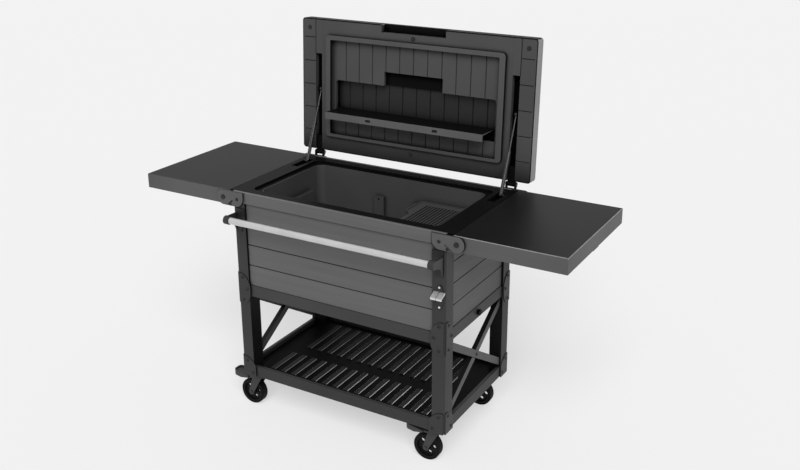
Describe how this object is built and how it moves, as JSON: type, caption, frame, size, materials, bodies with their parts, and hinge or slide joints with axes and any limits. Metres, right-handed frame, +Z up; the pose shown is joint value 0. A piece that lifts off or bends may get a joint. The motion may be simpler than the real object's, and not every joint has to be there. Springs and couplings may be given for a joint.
{
  "type": "beverage cooler cart",
  "caption": "Rolling insulated cooler cart with a boarded box on posts, a hinged lid on gas struts, drop leaves, a slotted tray, a lower shelf, a front handle and a bottle opener.",
  "frame": {"origin": "on the floor, under the middle of the cart's overall box with the lid open and the leaves up", "axes": "+X along the cart to the right as seen from the front, the front with the handle faces -Y, +Z up"},
  "size_m": [1.724, 0.685, 1.4537],
  "materials": {
    "black_steel": "black powder coat",
    "bright_steel": "satin",
    "foam": "closed-cell foam",
    "grey_steel": "grey powder coat",
    "handle_metal": "brushed",
    "leaf_top": "satin black resin",
    "resin_black": "fine-grain black resin",
    "resin_board": "embossed wood-grain resin",
    "resin_lid": "fine-grain dark resin",
    "resin_post": "embossed resin",
    "resin_tub": "smooth grey resin",
    "seal": "soft",
    "wheel_tread": "hard rubber"
  },
  "bodies": {
    "frame": {"aprons": "resin_board", "bottle_opener": "bright_steel", "box_floor": "resin_black", "caster_plates": "black_steel", "drain_spout": "resin_black", "foot_corner_plates": "grey_steel", "frame_bolts": "black_steel", "front_panel": "resin_board", "front_shelf_rail": "resin_post", "handle_bases": "black_steel", "handle_brackets": "grey_steel", "handle_tube": "handle_metal", "leaf_hinge_plates": "grey_steel", "left_panel": "resin_board", "lid_hinge_brackets": "black_steel", "long_box_rails": "resin_post", "mid_corner_plates": "grey_steel", "opener_plate": "grey_steel", "pivot_pins": "black_steel", "post_front_left": "resin_post", "post_front_right": "resin_post", "post_rear_left": "resin_post", "post_rear_right": "resin_post", "rear_panel": "resin_board", "rear_shelf_rail": "resin_post", "right_panel": "resin_board", "rim_frame": "resin_black", "shelf_grate": "resin_black", "short_box_rails": "resin_post", "side_braces": "resin_post", "side_shelf_rails": "resin_post", "tub_foam": "foam", "tub_liner": "resin_tub", "tub_steps": "resin_tub"},
    "lid": {"lid_cover": "resin_lid", "lid_liner": "resin_lid", "lid_side_bands": "resin_lid", "lid_foam": "foam", "lid_gasket": "seal", "lid_bumpers": "seal", "lid_hinge_arms": "black_steel"},
    "lid_shelf": {"lid_shelf": "resin_lid"},
    "left_leaf": {"left_leaf": "leaf_top"},
    "right_leaf": {"right_leaf": "leaf_top"},
    "tray": {"tray": "resin_tub"},
    "drain_cap": {"drain_cap": "resin_black"},
    "left_strut_cylinder": {"left_strut_cylinder": "black_steel"},
    "left_strut_rod": {"left_strut_rod": "black_steel"},
    "right_strut_cylinder": {"right_strut_cylinder": "black_steel"},
    "right_strut_rod": {"right_strut_rod": "black_steel"},
    "front_left_fork": {"front_left_fork": "black_steel"},
    "front_right_fork": {"front_right_fork": "black_steel"},
    "rear_left_fork": {"rear_left_fork": "black_steel"},
    "rear_right_fork": {"rear_right_fork": "black_steel"},
    "front_left_wheel": {"front_left_wheel": "wheel_tread"},
    "front_right_wheel": {"front_right_wheel": "wheel_tread"},
    "rear_left_wheel": {"rear_left_wheel": "wheel_tread"},
    "rear_right_wheel": {"rear_right_wheel": "wheel_tread"},
    "front_left_pedal": {"front_left_pedal": "black_steel"},
    "front_right_pedal": {"front_right_pedal": "black_steel"}
  },
  "joints": [
    {"name": "lid_hinge", "type": "hinge", "parent": "frame", "child": "lid", "pos_m": [0, 0.2725, 0.912], "axis": [1, 0, 0], "range_deg": [0, 93]},
    {"name": "lid_shelf_fold", "type": "hinge", "parent": "lid", "child": "lid_shelf", "pos_m": [0, 0.30736, 1.09943], "axis": [1, 0, 0], "range_deg": [-90, 0]},
    {"name": "left_strut_swing", "type": "hinge", "parent": "frame", "child": "left_strut_cylinder", "pos_m": [-0.429, 0.1815, 0.896], "axis": [1, 0, 0], "range_deg": [0, 103.86]},
    {"name": "left_strut_stroke", "type": "slide", "parent": "left_strut_cylinder", "child": "left_strut_rod", "axis": [0, 0.3857, 0.9226], "range_m": [-0.12722, 0]},
    {"name": "left_leaf_fold", "type": "hinge", "parent": "frame", "child": "left_leaf", "pos_m": [-0.483, -0.0065, 0.872], "axis": [0, 1, 0], "range_deg": [-90, 0]},
    {"name": "right_strut_swing", "type": "hinge", "parent": "frame", "child": "right_strut_cylinder", "pos_m": [0.429, 0.1815, 0.896], "axis": [1, 0, 0], "range_deg": [0, 103.86]},
    {"name": "right_strut_stroke", "type": "slide", "parent": "right_strut_cylinder", "child": "right_strut_rod", "axis": [0, 0.3857, 0.9226], "range_m": [-0.12722, 0]},
    {"name": "right_leaf_fold", "type": "hinge", "parent": "frame", "child": "right_leaf", "pos_m": [0.483, -0.0065, 0.872], "axis": [0, 1, 0], "range_deg": [0, 90]},
    {"name": "tray_slide", "type": "slide", "parent": "frame", "child": "tray", "axis": [1, 0, 0], "range_m": [-0.46, 0]},
    {"name": "drain_cap_turn", "type": "hinge", "parent": "frame", "child": "drain_cap", "pos_m": [0.442, -0.0065, 0.51], "axis": [1, 0, 0], "continuous": true},
    {"name": "front_left_swivel", "type": "hinge", "parent": "frame", "child": "front_left_fork", "pos_m": [-0.394, -0.2195, 0.141], "axis": [0, 0, 1], "continuous": true},
    {"name": "front_left_roll", "type": "hinge", "parent": "front_left_fork", "child": "front_left_wheel", "pos_m": [-0.435, -0.2195, 0.0525], "axis": [0, 1, 0], "continuous": true},
    {"name": "front_left_brake", "type": "hinge", "parent": "front_left_fork", "child": "front_left_pedal", "pos_m": [-0.412, -0.2195, 0.117], "axis": [0, 1, 0], "range_deg": [-10, 0]},
    {"name": "front_right_swivel", "type": "hinge", "parent": "frame", "child": "front_right_fork", "pos_m": [0.394, -0.2195, 0.141], "axis": [0, 0, 1], "continuous": true},
    {"name": "front_right_roll", "type": "hinge", "parent": "front_right_fork", "child": "front_right_wheel", "pos_m": [0.353, -0.2195, 0.0525], "axis": [0, 1, 0], "continuous": true},
    {"name": "front_right_brake", "type": "hinge", "parent": "front_right_fork", "child": "front_right_pedal", "pos_m": [0.376, -0.2195, 0.117], "axis": [0, 1, 0], "range_deg": [-10, 0]},
    {"name": "rear_left_swivel", "type": "hinge", "parent": "frame", "child": "rear_left_fork", "pos_m": [-0.394, 0.2065, 0.141], "axis": [0, 0, 1], "continuous": true},
    {"name": "rear_left_roll", "type": "hinge", "parent": "rear_left_fork", "child": "rear_left_wheel", "pos_m": [-0.435, 0.2065, 0.0525], "axis": [0, 1, 0], "continuous": true},
    {"name": "rear_right_swivel", "type": "hinge", "parent": "frame", "child": "rear_right_fork", "pos_m": [0.394, 0.2065, 0.141], "axis": [0, 0, 1], "continuous": true},
    {"name": "rear_right_roll", "type": "hinge", "parent": "rear_right_fork", "child": "rear_right_wheel", "pos_m": [0.353, 0.2065, 0.0525], "axis": [0, 1, 0], "continuous": true}
  ],
  "couplings": [
    {"joint": "left_strut_swing", "follows": "lid_hinge", "ratio": 1.1162},
    {"joint": "left_strut_stroke", "follows": "lid_hinge", "m_per_rad": -0.078314},
    {"joint": "right_strut_swing", "follows": "lid_hinge", "ratio": 1.1162},
    {"joint": "right_strut_stroke", "follows": "lid_hinge", "m_per_rad": -0.078314}
  ]
}
